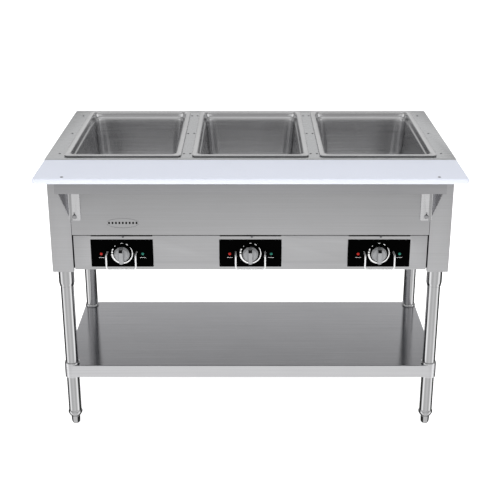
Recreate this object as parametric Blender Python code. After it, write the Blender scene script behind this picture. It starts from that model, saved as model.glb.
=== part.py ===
"""Steam table with three wells: a stainless body on four legs, with lift-out pans, a cutting board and an undershelf.

The origin is on the floor, under the middle of the whole table. The cook stands at -Y, and +Z is up.
Sizes are in metres. Left and right are the cook's.
"""

import math

import bmesh
import bpy
from mathutils import Matrix, Vector

# ---------------------------------------------------------------- driving dimensions
WIDTH = 1.127  # the top and the board, side to side
TOP_DEPTH = 0.574  # the stainless top, front to back
BOARD_REACH = 0.183  # how far the board comes out ahead of the body
TOP_HEIGHT = 0.848  # floor to the top's upper face
BODY_BOTTOM = 0.516  # lower edge of the side panels
SHEET = 0.0012  # stainless sheet
GAP = 0.0003  # between pieces that touch

WELL_PITCH = 0.353  # centre to centre
CONTROL_PITCH = 0.3627  # centre to centre of the control plates
LEG_X = 0.5335  # leg axis from the middle
LEG_FRONT_INSET = 0.052  # leg axis behind the body's front
LEG_REAR_INSET = 0.092  # leg axis ahead of the top's back edge
SHELF_HEIGHT = 0.2035  # upper face of the undershelf
FOOT_TRAVEL_ROOM = 0.026  # hex foot's height below its insert, screwed right in

# ---------------------------------------------------------------- places worked out from them
BACK = (TOP_DEPTH + BOARD_REACH) / 2
FRONT = BACK - TOP_DEPTH
HALF_WIDTH = WIDTH / 2
LAP = SHEET + GAP  # the top's turned edge laps over the body panels by this much
SKIN_FRONT = FRONT + LAP
SKIN_BACK = BACK - LAP
SKIN_SIDE = HALF_WIDTH - LAP
BODY_TOP = TOP_HEIGHT - SHEET - GAP
WELL_Y = FRONT + TOP_DEPTH / 2

POST_X = 0.502  # edge of the side panels' front returns
BACK_POST_X = 0.522  # edge of their back returns
SEAM = 0.0006
FRONT_PANEL_BOTTOM = 0.627
FLANGE = 0.012

FASCIA_RECESS = 0.002
FASCIA_FACE = SKIN_FRONT + FASCIA_RECESS
FASCIA_BOTTOM = 0.523
FASCIA_END_GAP = 0.0038  # open slit between the fascia and the corner posts
FASCIA_TOP = 0.6255
PLATE_WIDTH = 0.1755
PLATE_HEIGHT = 0.0815
PLATE_THICK = 0.0015
PLATE_Z = 0.573
PLATE_BACK = FASCIA_FACE - GAP
PLATE_FACE = PLATE_BACK - PLATE_THICK
CONTROL_Z = 0.572  # knob and lamp centres
LAMP_OFFSET = 0.0585
GUARD_HALF = 0.0415
GUARD_REACH = 0.032
GUARD_DROP = 0.0405
GUARD_WIRE = 0.002  # radius
SHAFT_RADIUS = 0.003

LEG_RADIUS = 0.01905
LEG_WALL = 0.0015
LEG_TOP = 0.5185
LEG_BOTTOM = 0.0470
COLLAR_RADIUS = 0.0224
COLLAR_BORE = LEG_RADIUS + 0.00035
SHELF_EDGE = 0.038
SHELF_CORNER = 0.022
LEG_Y = {"front": FRONT + LEG_FRONT_INSET, "rear": BACK - LEG_REAR_INSET}
SIDES = {"left": -1, "right": 1}
WELLS = {"left": -1, "middle": 0, "right": 1}

ROUND_STEPS = 18  # facets round a leg, socket or collar
SMALL_STEPS = 12  # facets round a shaft, lamp or hole


# ---------------------------------------------------------------- finishes
def finish(name, colour, roughness, metallic):
    material = bpy.data.materials.new(name)
    material.use_nodes = True
    shader = material.node_tree.nodes["Principled BSDF"]
    shader.inputs["Base Color"].default_value = (*colour, 1.0)
    shader.inputs["Roughness"].default_value = roughness
    shader.inputs["Metallic"].default_value = metallic
    return material


# ---------------------------------------------------------------- shape helpers
def clear_scene():
    for obj in list(bpy.data.objects):
        bpy.data.objects.remove(obj)


def add_object(name, bm, material, location=(0, 0, 0), smooth=False):
    bmesh.ops.recalc_face_normals(bm, faces=bm.faces)
    mesh = bpy.data.meshes.new(name)
    bm.to_mesh(mesh)
    bm.free()
    if smooth:
        mesh.shade_smooth()
        mesh.set_sharp_from_angle(angle=math.radians(30))
    if material is not None:
        mesh.materials.append(material)
    obj = bpy.data.objects.new(name, mesh)
    obj.location = location
    bpy.context.scene.collection.objects.link(obj)
    return obj


def rounded_rectangle(half_u, half_v, radius, steps=4):
    """Corner-rounded outline about the origin, anticlockwise."""
    points = []
    for quarter, (sign_u, sign_v) in enumerate(((1, 1), (-1, 1), (-1, -1), (1, -1))):
        for step in range(steps + 1):
            angle = (quarter + step / steps) * math.pi / 2
            points.append(
                (
                    sign_u * (half_u - radius) + radius * math.cos(angle),
                    sign_v * (half_v - radius) + radius * math.sin(angle),
                )
            )
    return points


def rectangle(u0, v0, u1, v1):
    return [(u0, v0), (u1, v0), (u1, v1), (u0, v1)]


def circle(radius, steps=ROUND_STEPS):
    turn = 2 * math.pi / steps
    return [(radius * math.cos(i * turn), radius * math.sin(i * turn)) for i in range(steps)]


def hexagon(apothem, steps=ROUND_STEPS):
    """A hexagon with as many points as a circle, so that the two can be lofted together."""
    points = []
    for i in range(steps):
        angle = i * 2 * math.pi / steps
        from_flat = angle % (math.pi / 3) - math.pi / 6
        radius = apothem / math.cos(from_flat)
        points.append((radius * math.cos(angle), radius * math.sin(angle)))
    return points


# How an outline's (u, v) and its extrusion height become x, y, z.
ALONG = {
    "X": lambda u, v, h: (h, u, v),
    "Y": lambda u, v, h: (u, h, v),
    "Z": lambda u, v, h: (u, v, h),
}


def extrude_outline(bm, outline, axis, low, high):
    """Extrudes a closed outline along an axis: (y, z) along X, (x, z) along Y or (x, y) along Z."""
    place = ALONG[axis]
    face = bm.faces.new([bm.verts.new(place(u, v, low)) for u, v in outline])
    grown = bmesh.ops.extrude_face_region(bm, geom=[face])
    moved = [item for item in grown["geom"] if isinstance(item, bmesh.types.BMVert)]
    bmesh.ops.translate(bm, verts=moved, vec=Vector(place(0, 0, high - low)))


def prism(name, outline, axis, low, high, material, location=(0, 0, 0), smooth=False):
    bm = bmesh.new()
    extrude_outline(bm, outline, axis, low, high)
    return add_object(name, bm, material, location, smooth)


def loft(name, rings, material, location=(0, 0, 0), smooth=False):
    """Joins rings of (outline, z) by quads and caps the two ends."""
    bm = bmesh.new()
    loops = [[bm.verts.new((u, v, z)) for u, v in outline] for outline, z in rings]
    count = len(loops[0])
    for lower, upper in zip(loops, loops[1:]):
        for i in range(count):
            j = (i + 1) % count
            bm.faces.new((lower[i], lower[j], upper[j], upper[i]))
    bm.faces.new(loops[0])
    bm.faces.new(loops[-1])
    return add_object(name, bm, material, location, smooth)


def turn(name, profile, material, location=(0, 0, 0), axis="Z", steps=ROUND_STEPS, through=False):
    """Spins a profile of (radius, height) round an axis. A profile with a through hole is a closed loop."""
    bm = bmesh.new()
    verts = [bm.verts.new((radius, 0, height)) for radius, height in profile]
    edges = [bm.edges.new(pair) for pair in zip(verts, verts[1:])]
    if through:
        edges.append(bm.edges.new((verts[-1], verts[0])))
    bmesh.ops.spin(
        bm, geom=verts + edges, cent=(0, 0, 0), axis=(0, 0, 1), angle=2 * math.pi, steps=steps, use_merge=True
    )
    bmesh.ops.remove_doubles(bm, verts=bm.verts, dist=0.00001)
    if axis == "Y":  # heights then run towards the cook
        bmesh.ops.rotate(bm, verts=bm.verts, matrix=Matrix.Rotation(math.radians(90), 3, "X"))
    return add_object(name, bm, material, location, smooth=True)


def wire(name, points, radius, material, location=(0, 0, 0), roundness=2):
    """A round wire or tube through points, with closed ends."""
    curve = bpy.data.curves.new(name, "CURVE")
    curve.dimensions = "3D"
    curve.bevel_depth = radius
    curve.bevel_resolution = roundness
    curve.use_fill_caps = True
    spline = curve.splines.new("POLY")
    spline.points.add(len(points) - 1)
    for point, place in zip(spline.points, points):
        point.co = (*place, 1.0)
    curve.materials.append(material)
    obj = bpy.data.objects.new(name, curve)
    obj.location = location
    bpy.context.scene.collection.objects.link(obj)
    return obj


def arc(centre, radius, start, end, steps):
    """Points on a circle in the (u, v) plane, between two angles in degrees."""
    points = []
    for step in range(steps + 1):
        angle = math.radians(start + (end - start) * step / steps)
        points.append((centre[0] + radius * math.cos(angle), centre[1] + radius * math.sin(angle)))
    return points


def use_boolean(obj, helper, operation):
    helper.hide_render = True
    helper.display_type = "WIRE"
    modifier = obj.modifiers.new(helper.name, "BOOLEAN")
    modifier.object = helper
    modifier.operation = operation
    modifier.solver = "EXACT"


def cut(obj, cutter):
    use_boolean(obj, cutter, "DIFFERENCE")


def join(obj, other):
    use_boolean(obj, other, "UNION")


def cutter_of(name, shapes):
    """One cutter made of several prisms, each (outline, axis, low, high)."""
    bm = bmesh.new()
    for outline, axis, low, high in shapes:
        extrude_outline(bm, outline, axis, low, high)
    return add_object(name, bm, None)


def moved(outline, u, v):
    return [(point[0] + u, point[1] + v) for point in outline]


def mirrored(outline, sign):
    """The outline as it is for -1 (left), or mirrored in the middle plane for 1 (right)."""
    return outline if sign < 0 else [(-u, v) for u, v in reversed(outline)]


# ---------------------------------------------------------------- body panels
OPENING_HALF_X = 0.153
OPENING_HALF_Y = 0.2545
OPENING_CORNER = 0.014
TOP_EDGE = 0.020


def make_top_panel(steel):
    """Stainless top with turned-down edges and an opening over each well."""
    outer = rounded_rectangle(HALF_WIDTH, TOP_DEPTH / 2, 0.003, 2)
    inner = rounded_rectangle(HALF_WIDTH - SHEET, TOP_DEPTH / 2 - SHEET, 0.0018, 2)
    lower = TOP_HEIGHT - TOP_EDGE
    rings = ((outer, TOP_HEIGHT), (outer, lower), (inner, lower), (inner, TOP_HEIGHT - SHEET))
    top = loft("top_panel", rings, steel, (0, WELL_Y, 0))
    hole = rounded_rectangle(OPENING_HALF_X, OPENING_HALF_Y, OPENING_CORNER, 3)
    holes = [
        (moved(hole, side * WELL_PITCH, WELL_Y), "Z", TOP_HEIGHT - 0.01, TOP_HEIGHT + 0.01)
        for side in WELLS.values()
    ]
    cut(top, cutter_of("well_openings", holes))


def make_side_panels(steel):
    """Side wall with a wide return at the front corner and a narrower one at the back."""
    lip = FLANGE + 0.001
    fold = 0.0015
    outline = [
        (-SKIN_SIDE, SKIN_FRONT + fold),
        (-SKIN_SIDE + fold, SKIN_FRONT),
        (-POST_X, SKIN_FRONT),
        (-POST_X, SKIN_FRONT + lip),
        (-POST_X - SHEET, SKIN_FRONT + lip),
        (-POST_X - SHEET, SKIN_FRONT + SHEET),
        (-SKIN_SIDE + SHEET, SKIN_FRONT + SHEET),
        (-SKIN_SIDE + SHEET, SKIN_BACK - SHEET),
        (-BACK_POST_X, SKIN_BACK - SHEET),
        (-BACK_POST_X, SKIN_BACK),
        (-SKIN_SIDE + fold, SKIN_BACK),
        (-SKIN_SIDE, SKIN_BACK - fold),
    ]
    for side, sign in SIDES.items():
        prism(f"side_panel_{side}", mirrored(outline, sign), "Z", BODY_BOTTOM, BODY_TOP, steel)


def channel_outline(face, inward, low, high):
    """Section of a panel with a flange turned inwards at its top and bottom, as (y, z)."""
    flange = face + inward * FLANGE
    skin = face + inward * SHEET
    return [
        (face, low),
        (flange, low),
        (flange, low + SHEET),
        (skin, low + SHEET),
        (skin, high - SHEET),
        (flange, high - SHEET),
        (flange, high),
        (face, high),
    ]


def make_front_panel(steel):
    half = POST_X - SEAM
    outline = channel_outline(SKIN_FRONT, 1, FRONT_PANEL_BOTTOM, BODY_TOP)
    prism("front_panel", outline, "X", -half, half, steel)


def make_back_panel(steel):
    half = BACK_POST_X - SEAM
    outline = channel_outline(SKIN_BACK, -1, BODY_BOTTOM + 0.001, BODY_TOP)
    prism("back_panel", outline, "X", -half, half, steel)


def make_control_fascia(steel):
    """Recessed strip under the front panel, with a window behind each control plate."""
    half = POST_X - FASCIA_END_GAP
    outline = channel_outline(FASCIA_FACE, 1, FASCIA_BOTTOM, FASCIA_TOP)
    fascia = prism("control_fascia", outline, "X", -half, half, steel)
    window = rounded_rectangle(0.070, 0.026, 0.004, 1)
    slot_half, slot_depth = 0.0865, 0.0022
    slot = rectangle(-slot_half, -slot_depth, slot_half, slot_depth)
    shapes = []
    for side in WELLS.values():
        x = side * CONTROL_PITCH
        shapes.append((moved(window, x, CONTROL_Z), "Y", FASCIA_FACE - 0.005, FASCIA_FACE + 0.006))
        shapes.append((moved(slot, x, FASCIA_TOP), "Y", FASCIA_FACE - 0.005, FASCIA_FACE + 0.006))
    cut(fascia, cutter_of("fascia_windows", shapes))


INLET_X = 0.430
INLET_Y = BACK - 0.095
INLET_HOLE = 0.0125


def make_bottom_panel(galvanised):
    """Closes the body underneath, level with the fascia's lower edge."""
    half_x = SKIN_SIDE - SHEET - GAP
    front = FASCIA_FACE + FLANGE + GAP
    back = SKIN_BACK - FLANGE - GAP
    outline = rectangle(-half_x, front, half_x, back)
    panel = prism("bottom_panel", outline, "Z", FASCIA_BOTTOM, FASCIA_BOTTOM + SHEET, galvanised)
    hole = moved(circle(INLET_HOLE + GAP), INLET_X, INLET_Y)
    cut(panel, cutter_of("inlet_hole", [(hole, "Z", FASCIA_BOTTOM - 0.01, FASCIA_BOTTOM + 0.01)]))


# ---------------------------------------------------------------- wells
LINER_HALF_X = 0.156
LINER_HALF_Y = 0.2575
LINER_FLANGE_X = 0.1735
LINER_FLANGE_Y = 0.2680
LINER_BOTTOM = 0.640
LINER_WALL = 0.0010
ELEMENT_Z = 0.656
ELEMENT_RADIUS = 0.004
ELEMENT_RUN_X = 0.035  # half the distance between neighbouring runs


def make_well_liners(galvanised):
    """Heat box that hangs from the top by its flange, with two holes for the element's ends."""
    inside = rounded_rectangle(LINER_HALF_X, LINER_HALF_Y, 0.012, 3)
    outside = rounded_rectangle(LINER_HALF_X + LINER_WALL, LINER_HALF_Y + LINER_WALL, 0.013, 3)
    flange = rounded_rectangle(LINER_FLANGE_X, LINER_FLANGE_Y, 0.003, 3)
    under = BODY_TOP - LINER_WALL
    for name, side in WELLS.items():
        x = side * WELL_PITCH
        rings = (
            (inside, LINER_BOTTOM),
            (inside, BODY_TOP),
            (flange, BODY_TOP),
            (flange, under),
            (outside, under),
            (outside, LINER_BOTTOM - LINER_WALL),
        )
        liner = loft(f"well_liner_{name}", rings, galvanised, (x, WELL_Y, 0))
        hole = circle(ELEMENT_RADIUS + 2 * GAP, SMALL_STEPS)
        wall = WELL_Y - LINER_HALF_Y
        holes = [
            (moved(hole, x + end * 3 * ELEMENT_RUN_X, ELEMENT_Z), "Y", wall - 0.01, wall + 0.01)
            for end in (-1, 1)
        ]
        cut(liner, cutter_of(f"element_holes_{name}", holes))


def make_heating_elements(sheath):
    """Tubular element bent into four runs, with both ends out through the liner's front wall."""
    bend = ELEMENT_RUN_X
    far, near = 0.170, -0.170
    start = -LINER_HALF_Y - 0.012
    path = [(-3 * bend, start)]
    path += arc((-2 * bend, far), bend, 180, 0, 6)
    path += arc((0, near), bend, 180, 360, 6)
    path += arc((2 * bend, far), bend, 180, 0, 6)
    path.append((3 * bend, start))
    for name, side in WELLS.items():
        points = [(u, v, 0) for u, v in path]
        place = (side * WELL_PITCH, WELL_Y, ELEMENT_Z)
        wire(f"heating_element_{name}", points, ELEMENT_RADIUS, sheath, place, roundness=1)


PAN_HALF_X = 0.162
PAN_HALF_Y = 0.2635
PAN_RIM = 0.0048  # the rim's edge rises this much above the top panel
PAN_CORNER_STEPS = 3

# Section of the pan from the middle of its floor, up the inside, over the rim and down the outside:
# (distance in from the rim's edge, depth below the rim, corner radius).
PAN_SECTION = (
    (0.0600, 0.1520, 0.020),
    (0.0480, 0.1505, 0.028),
    (0.0370, 0.1440, 0.032),
    (0.0315, 0.1300, 0.034),
    (0.0215, 0.0190, 0.032),
    (0.0175, 0.0150, 0.028),
    (0.0155, 0.0040, 0.026),
    (0.0135, 0.0006, 0.023),
    (0.0012, 0.0000, 0.012),
    (0.0000, 0.0012, 0.012),
    (0.0000, 0.0048, 0.012),
    (0.0010, 0.0048, 0.011),
    (0.0010, 0.0016, 0.011),
    (0.0129, 0.0016, 0.023),
    (0.0145, 0.0044, 0.025),
    (0.0165, 0.0154, 0.028),
    (0.0205, 0.0196, 0.032),
    (0.0305, 0.1302, 0.034),
    (0.0362, 0.1450, 0.032),
    (0.0476, 0.1516, 0.028),
    (0.0600, 0.1530, 0.020),
)


def make_food_pans(bright_steel):
    """Full-size pan hanging by its rim in each opening. It lifts straight out."""
    rim_top = TOP_HEIGHT + GAP + PAN_RIM
    for name, side in WELLS.items():
        rings = [
            (
                rounded_rectangle(PAN_HALF_X - inset, PAN_HALF_Y - inset, radius, PAN_CORNER_STEPS),
                -depth,
            )
            for inset, depth, radius in PAN_SECTION
        ]
        place = (side * WELL_PITCH, WELL_Y, rim_top)
        loft(f"food_pan_{name}", rings, bright_steel, place, smooth=True)


# ---------------------------------------------------------------- cutting board and its support
BOARD_THICK = 0.0145
BOARD_FRONT = FRONT - BOARD_REACH
BOARD_UNDER = TOP_HEIGHT - BOARD_THICK
SUPPORT_FRONT = FRONT - 0.171
SUPPORT_TOP = BOARD_UNDER - GAP
SUPPORT_LIP = 0.0295
SUPPORT_HALF = 0.5086
BRACKET_SHEET = 0.002
BRACKET_FLANGE = 0.034
BRACKET_BOTTOM = 0.6715
GUSSET_BOTTOM = 0.683


def make_cutting_board(plastic):
    half_depth = (BOARD_REACH - 0.001) / 2
    edge = 0.0025
    corner = 0.009
    full = rounded_rectangle(HALF_WIDTH, half_depth, corner, 4)
    shrunk = rounded_rectangle(HALF_WIDTH - edge, half_depth - edge, corner - edge, 4)
    rings = (
        (shrunk, BOARD_UNDER),
        (full, BOARD_UNDER + edge),
        (full, TOP_HEIGHT - edge),
        (shrunk, TOP_HEIGHT),
    )
    loft("cutting_board", rings, plastic, (0, BOARD_FRONT + half_depth, 0))


def make_board_support(steel):
    """Sheet under the board with its front edge turned down."""
    outline = [
        (SKIN_FRONT - LAP - GAP, SUPPORT_TOP),
        (SUPPORT_FRONT, SUPPORT_TOP),
        (SUPPORT_FRONT, SUPPORT_TOP - SUPPORT_LIP),
        (SUPPORT_FRONT + SHEET, SUPPORT_TOP - SUPPORT_LIP),
        (SUPPORT_FRONT + SHEET, SUPPORT_TOP - SHEET),
        (SKIN_FRONT - LAP - GAP, SUPPORT_TOP - SHEET),
    ]
    prism("board_support", outline, "X", -SUPPORT_HALF, SUPPORT_HALF, steel)


def make_board_brackets(steel):
    """Gusset with a flange that hooks on the front panel by a keyhole."""
    top = TOP_HEIGHT - TOP_EDGE - GAP
    back = SKIN_FRONT - GAP
    gusset_top = SUPPORT_TOP - SHEET - GAP
    outer = 0.507
    inner = outer - BRACKET_FLANGE
    gusset = [
        (back, GUSSET_BOTTOM),
        (back, top),
        (SKIN_FRONT - LAP - GAP, top),
        (SKIN_FRONT - LAP - GAP, gusset_top),
        (SUPPORT_FRONT + SHEET + GAP, gusset_top),
        (SUPPORT_FRONT + SHEET + GAP, gusset_top - 0.006),
    ]
    corner = 0.005
    flange = [(-outer, top)]
    flange += arc((-outer + corner, BRACKET_BOTTOM + corner), corner, 180, 270, 3)
    flange += arc((-inner - corner, BRACKET_BOTTOM + corner), corner, 270, 360, 3)
    flange.append((-inner, top))
    keyhole_x = -(outer + inner) / 2
    hole_z = BRACKET_BOTTOM + 0.011
    keyhole = arc((keyhole_x, hole_z), 0.0052, -245, 65, 10)
    keyhole += arc((keyhole_x, hole_z + 0.0115), 0.0025, 30, 150, 4)
    for side, sign in SIDES.items():
        bracket = prism(
            f"board_bracket_{side}", mirrored(flange, sign), "Y", back - BRACKET_SHEET, back, steel
        )
        low, high = sorted((sign * outer, sign * (outer - BRACKET_SHEET)))
        join(bracket, prism(f"gusset_{side}", gusset, "X", low, high, None))
        cut(bracket, cutter_of(f"keyhole_{side}", [(mirrored(keyhole, sign), "Y", back - 0.01, back + 0.01)]))


# ---------------------------------------------------------------- controls
def make_control_plates(black):
    """Black plate over each window, with holes for the shaft bushing, the lamps and the guard's ends."""
    outline = rounded_rectangle(PLATE_WIDTH / 2, PLATE_HEIGHT / 2, 0.001, 1)
    bushing = circle(0.0056, SMALL_STEPS)
    lamp = circle(0.0048, SMALL_STEPS)
    guard = circle(GUARD_WIRE + 0.0005, 8)
    for name, side in WELLS.items():
        x = side * CONTROL_PITCH
        plate = prism(f"control_plate_{name}", moved(outline, x, PLATE_Z), "Y", PLATE_FACE, PLATE_BACK, black)
        holes = [moved(bushing, x, CONTROL_Z)]
        for sign in (-1, 1):
            holes.append(moved(lamp, x + sign * LAMP_OFFSET, CONTROL_Z))
            holes.append(moved(guard, x + sign * GUARD_HALF, CONTROL_Z + 0.0055))
        shapes = [(hole, "Y", PLATE_FACE - 0.01, PLATE_BACK + 0.01) for hole in holes]
        cut(plate, cutter_of(f"plate_holes_{name}", shapes))


def make_heat_switches(phenolic):
    """Rotary heat switch behind each plate, with the bushing that its shaft turns in."""
    body = rounded_rectangle(0.022, 0.018, 0.003, 1)
    depth = 0.026
    for name, side in WELLS.items():
        x = side * CONTROL_PITCH
        front = FASCIA_FACE
        switch = prism(
            f"heat_switch_{name}", moved(body, x, CONTROL_Z), "Y", front, front + depth, phenolic
        )
        bushing = moved(circle(0.0050, SMALL_STEPS), x, CONTROL_Z)
        join(switch, cutter_of(f"bushing_{name}", [(bushing, "Y", PLATE_FACE - 0.002, front + 0.004)]))
        bore = moved(circle(SHAFT_RADIUS + 0.0003, SMALL_STEPS), x, CONTROL_Z)
        cut(switch, cutter_of(f"shaft_bore_{name}", [(bore, "Y", PLATE_FACE - 0.01, front + 0.020)]))


KNOB_BACK = PLATE_FACE - 0.0030
KNOB_RADIUS = 0.022
KNOB_REACH = 0.027  # front of the grip from the back of the skirt
KNOB_BORE_DEPTH = 0.016


def make_knobs(knob_metal, steel):
    """Round knob with a bar grip, on the switch's shaft. It turns about the shaft's axis."""
    skirt = (
        (0.0, 0.0),
        (0.0205, 0.0),
        (0.0220, 0.0012),
        (0.0220, 0.0050),
        (0.0200, 0.0066),
        (0.0180, 0.0105),
        (0.0165, 0.0118),
        (0.0, 0.0118),
    )
    grip = rounded_rectangle(0.0062, 0.0224, 0.0038, 2)
    for name, side in WELLS.items():
        x = side * CONTROL_PITCH
        knob = turn(f"knob_{name}", skirt, knob_metal, (x, KNOB_BACK, CONTROL_Z), axis="Y")
        grip_shape = (moved(grip, x, CONTROL_Z), "Y", KNOB_BACK - KNOB_REACH, KNOB_BACK - 0.004)
        join(knob, cutter_of(f"grip_{name}", [grip_shape]))
        bore = moved(circle(SHAFT_RADIUS + GAP, SMALL_STEPS), x, CONTROL_Z)
        cut(knob, cutter_of(f"knob_bore_{name}", [(bore, "Y", KNOB_BACK - KNOB_BORE_DEPTH, KNOB_BACK + 0.01)]))
        shaft = moved(circle(SHAFT_RADIUS, SMALL_STEPS), 0, 0)
        low = GAP - KNOB_BORE_DEPTH
        high = FASCIA_FACE + 0.019 - KNOB_BACK
        prism(f"switch_shaft_{name}", shaft, "Y", low, high, steel, (x, KNOB_BACK, CONTROL_Z), smooth=True)


def make_knob_guards(chrome):
    """Bent wire that stands out in front of each knob, both ends through the plate."""
    bend = 0.007
    side_x, reach, drop = GUARD_HALF, -GUARD_REACH, -GUARD_DROP
    behind = 0.009
    half = [(-side_x, behind, 0)]
    half += [(-side_x, v, u) for v, u in arc((reach + bend, -bend), bend, 90, 180, 4)]
    half += [(u, reach, v) for u, v in arc((-side_x + bend, drop + bend), bend, 180, 270, 4)]
    points = half + [(-x, y, z) for x, y, z in reversed(half)]
    for name, side in WELLS.items():
        place = (side * CONTROL_PITCH, PLATE_FACE, CONTROL_Z + 0.0055)
        wire(f"knob_guard_{name}", points, GUARD_WIRE, chrome, place)


def make_lamps(red_lens, green_lens):
    """Pilot lamps: a domed lens in front of the plate and a barrel behind it."""
    profile = (
        (0.0, -0.020),
        (0.0042, -0.020),
        (0.0042, GAP),
        (0.0050, GAP),
        (0.0050, 0.0016),
        (0.0046, 0.0030),
        (0.0026, 0.0040),
        (0.0, 0.0043),
    )
    for name, side in WELLS.items():
        x = side * CONTROL_PITCH
        for kind, sign, lens in (("power", -1, red_lens), ("heat", 1, green_lens)):
            place = (x + sign * LAMP_OFFSET, PLATE_FACE, CONTROL_Z)
            turn(f"{kind}_lamp_{name}", profile, lens, place, axis="Y", steps=SMALL_STEPS)


def make_supply(galvanised, ceramic):
    """Cord inlet bush in the bottom panel, and the terminal block beside it."""
    bush = (
        (0.0100, -0.022),
        (0.0125, -0.022),
        (0.0145, -0.004),
        (0.0190, -0.004),
        (0.0190, -GAP),
        (0.0125, -GAP),
        (0.0125, 0.010),
        (0.0100, 0.010),
    )
    turn("cord_inlet", bush, galvanised, (INLET_X, INLET_Y, FASCIA_BOTTOM), steps=ROUND_STEPS, through=True)
    block = rounded_rectangle(0.040, 0.012, 0.002, 1)
    low = FASCIA_BOTTOM + SHEET + GAP
    prism("terminal_block", moved(block, INLET_X - 0.09, INLET_Y), "Z", low, low + 0.020, ceramic)


# ---------------------------------------------------------------- legs, undershelf and feet
def each_leg():
    for row, y in LEG_Y.items():
        for side, sign in SIDES.items():
            yield f"{row}_{side}", sign * LEG_X, y


def make_leg_sockets(steel):
    """Cup under the body that each leg stands in, drawn in at its lower end."""
    top = FASCIA_BOTTOM - GAP
    bore = COLLAR_BORE
    profile = (
        (0.0, top),
        (0.0225, top),
        (0.0225, 0.4650),
        (0.0206, 0.4575),
        (0.0206, 0.4555),
        (bore, 0.4555),
        (bore, top - 0.0035),
        (0.0, top - 0.0035),
    )
    for name, x, y in each_leg():
        turn(f"leg_socket_{name}", profile, steel, (x, y, 0))


def make_legs(steel):
    inner = LEG_RADIUS - LEG_WALL
    profile = ((inner, LEG_BOTTOM), (LEG_RADIUS, LEG_BOTTOM), (LEG_RADIUS, LEG_TOP), (inner, LEG_TOP))
    for name, x, y in each_leg():
        turn(f"leg_{name}", profile, steel, (x, y, 0), through=True)


def make_undershelf(steel):
    """Shelf with turned-down edges and a welded collar round each leg."""
    half_x = LEG_X + SHELF_CORNER
    half_y = (LEG_Y["rear"] - LEG_Y["front"]) / 2 + SHELF_CORNER
    centre_y = (LEG_Y["rear"] + LEG_Y["front"]) / 2
    hem = 0.012

    def ring(inset):
        return rounded_rectangle(half_x - inset, half_y - inset, SHELF_CORNER - inset, 6)

    bottom = SHELF_HEIGHT - SHELF_EDGE
    rings = (
        (ring(0), SHELF_HEIGHT),
        (ring(0), bottom),
        (ring(hem), bottom),
        (ring(hem), bottom + SHEET),
        (ring(SHEET), bottom + SHEET),
        (ring(SHEET), SHELF_HEIGHT - SHEET),
    )
    shelf = loft("undershelf", rings, steel, (0, centre_y, 0))
    collar_top = SHELF_HEIGHT + 0.0060
    collar_bottom = bottom - 0.0040
    legs = list(each_leg())
    collars = [(moved(circle(COLLAR_RADIUS), x, y), "Z", collar_bottom, collar_top) for _, x, y in legs]
    join(shelf, cutter_of("shelf_collars", collars))
    bores = [(moved(circle(COLLAR_BORE), x, y), "Z", collar_bottom - 0.01, collar_top + 0.01) for _, x, y in legs]
    cut(shelf, cutter_of("shelf_bores", bores))


STUD_RADIUS = 0.006


def make_feet(steel):
    """Flared insert in the end of each leg, and the hex foot that screws down out of it."""
    bore = STUD_RADIUS + 0.0003
    foot_top = FOOT_TRAVEL_ROOM - GAP
    insert = (
        (bore, 0.0850),
        (0.0172, 0.0850),
        (0.0172, LEG_BOTTOM - GAP),
        (0.0191, LEG_BOTTOM - GAP),
        (0.0213, 0.0400),
        (0.0210, 0.0362),
        (0.0165, 0.0285),
        (0.0135, FOOT_TRAVEL_ROOM),
        (bore, FOOT_TRAVEL_ROOM),
    )
    foot = (
        (circle(0.0085), 0.0),
        (hexagon(0.0106), 0.0022),
        (hexagon(0.0112), 0.0090),
        (hexagon(0.0119), foot_top - 0.0015),
        (circle(0.0115), foot_top),
        (circle(STUD_RADIUS), foot_top),
        (circle(STUD_RADIUS), 0.0800),
    )
    for name, x, y in each_leg():
        turn(f"foot_insert_{name}", insert, steel, (x, y, 0), through=True)
        loft(f"foot_{name}", foot, steel, (x, y, 0))


# ---------------------------------------------------------------- the whole table
def main():
    clear_scene()
    steel = finish("brushed_stainless", (0.60, 0.60, 0.60), 0.35, 1.0)
    bright_steel = finish("bright_stainless", (0.62, 0.61, 0.60), 0.25, 1.0)
    galvanised = finish("galvanised_steel", (0.52, 0.53, 0.54), 0.50, 1.0)
    plastic = finish("white_polyethylene", (0.86, 0.88, 0.92), 0.45, 0.0)
    black = finish("black_enamel", (0.01, 0.01, 0.01), 0.35, 0.0)
    knob_metal = finish("knob_grey", (0.45, 0.46, 0.47), 0.40, 0.6)
    chrome = finish("chrome_wire", (0.80, 0.80, 0.80), 0.10, 1.0)
    red_lens = finish("red_lens", (0.75, 0.03, 0.02), 0.15, 0.0)
    green_lens = finish("green_lens", (0.05, 0.45, 0.35), 0.15, 0.0)
    sheath = finish("element_sheath", (0.18, 0.18, 0.19), 0.55, 1.0)
    phenolic = finish("black_phenolic", (0.03, 0.03, 0.03), 0.60, 0.0)
    ceramic = finish("ceramic", (0.75, 0.73, 0.68), 0.55, 0.0)

    make_top_panel(steel)
    make_side_panels(steel)
    make_front_panel(steel)
    make_back_panel(steel)
    make_control_fascia(steel)
    make_bottom_panel(galvanised)
    make_well_liners(galvanised)
    make_heating_elements(sheath)
    make_food_pans(bright_steel)
    make_cutting_board(plastic)
    make_board_support(steel)
    make_board_brackets(steel)
    make_control_plates(black)
    make_heat_switches(phenolic)
    make_knobs(knob_metal, steel)
    make_knob_guards(chrome)
    make_lamps(red_lens, green_lens)
    make_supply(galvanised, ceramic)
    make_leg_sockets(steel)
    make_legs(steel)
    make_undershelf(steel)
    make_feet(steel)


main()
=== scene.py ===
# %% [markdown]
# # A three-well steam table
# A steam table keeps food hot: three deep pans hang in a stainless body over electric elements. The mechanics come
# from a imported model, the frame. This notebook dresses each part of it: it makes the fine shape of every piece,
# gives it the finish of its real material, and lights the whole like a catalogue picture.
# We start by loading the frame and keeping its size, which the dressed model must not change.

import math

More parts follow.
